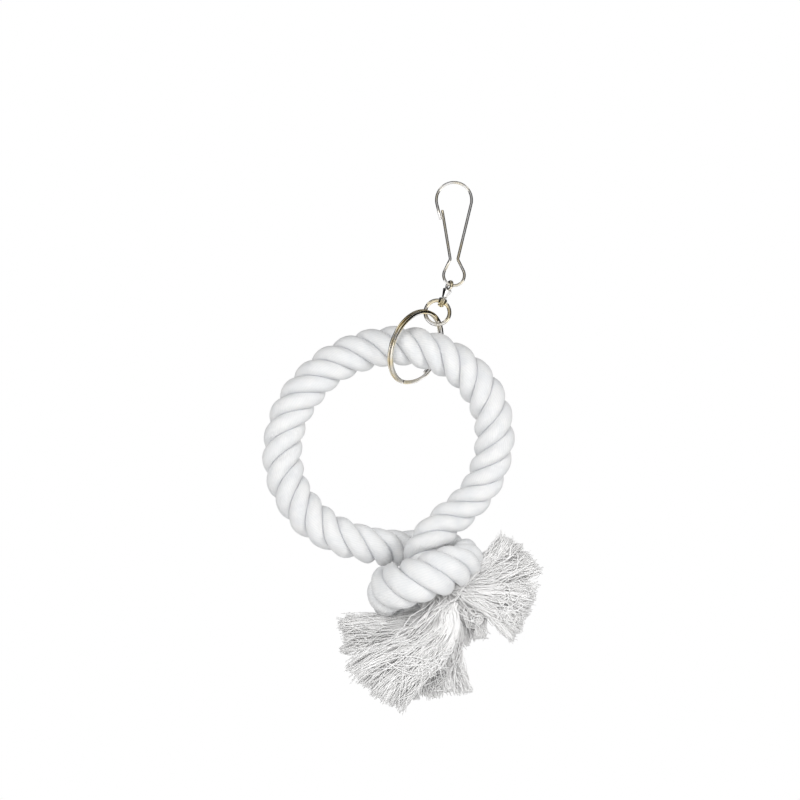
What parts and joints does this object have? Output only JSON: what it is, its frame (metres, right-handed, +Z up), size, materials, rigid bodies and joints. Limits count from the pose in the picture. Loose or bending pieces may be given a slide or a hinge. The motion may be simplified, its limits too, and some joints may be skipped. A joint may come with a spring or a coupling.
{
  "type": "bird swing",
  "caption": "Knotted cotton rope ring with frayed ends for a cage bird to perch in, hung from a split ring, a swivel and a sprung wire hook.",
  "frame": {"origin": "middle of the hook's crown, where the bar of a cage passes through", "axes": "+Z up, +Y from the front to the back, +X to the right as seen from the front"},
  "size_m": [0.1383, 0.0581, 0.2653],
  "materials": {
    "plated_steel": "bright nickel plate",
    "cotton": "undyed twisted cotton",
    "frayed_cotton": "loose undyed cotton yarn"
  },
  "bodies": {
    "hook": {"hook_frame": "plated_steel"},
    "gate": {"hook_gate": "plated_steel"},
    "eye": {"swivel_eye": "plated_steel"},
    "swivel": {"swivel_ring": "plated_steel"},
    "split": {"split_ring": "plated_steel"},
    "rope": {"rope_strand_1": "cotton", "rope_strand_2": "cotton", "rope_strand_3": "cotton", "left_fray": "frayed_cotton", "lower_left_fray": "frayed_cotton", "lower_fray": "frayed_cotton", "upper_right_fray": "frayed_cotton", "right_fray": "frayed_cotton", "lower_right_fray": "frayed_cotton"}
  },
  "joints": [
    {"name": "gate_spring", "type": "hinge", "parent": "hook", "child": "gate", "pos_m": [-0.00175, 0, -0.03015], "axis": [0, 1, 0], "range_deg": [0, 16], "stiffness_Nm_per_rad": 1},
    {"name": "eye_swing", "type": "hinge", "parent": "hook", "child": "eye", "pos_m": [-0.00212, 0, -0.04235], "axis": [0.9135, 0, -0.4067], "range_deg": [-60, 60]},
    {"name": "swivel_spin", "type": "hinge", "parent": "eye", "child": "swivel", "pos_m": [-0.00234, 0, -0.04285], "axis": [0.4067, 0, 0.9135], "continuous": true},
    {"name": "split_swing", "type": "hinge", "parent": "swivel", "child": "split", "pos_m": [-0.00936, 0, -0.05863], "axis": [0.4271, 0.7494, -0.5059], "range_deg": [-60, 60]},
    {"name": "rope_swing", "type": "hinge", "parent": "split", "child": "rope", "pos_m": [-0.01922, -0.00198, -0.07482], "axis": [0.9861, 0, -0.1662], "range_deg": [-35, 35]}
  ]
}
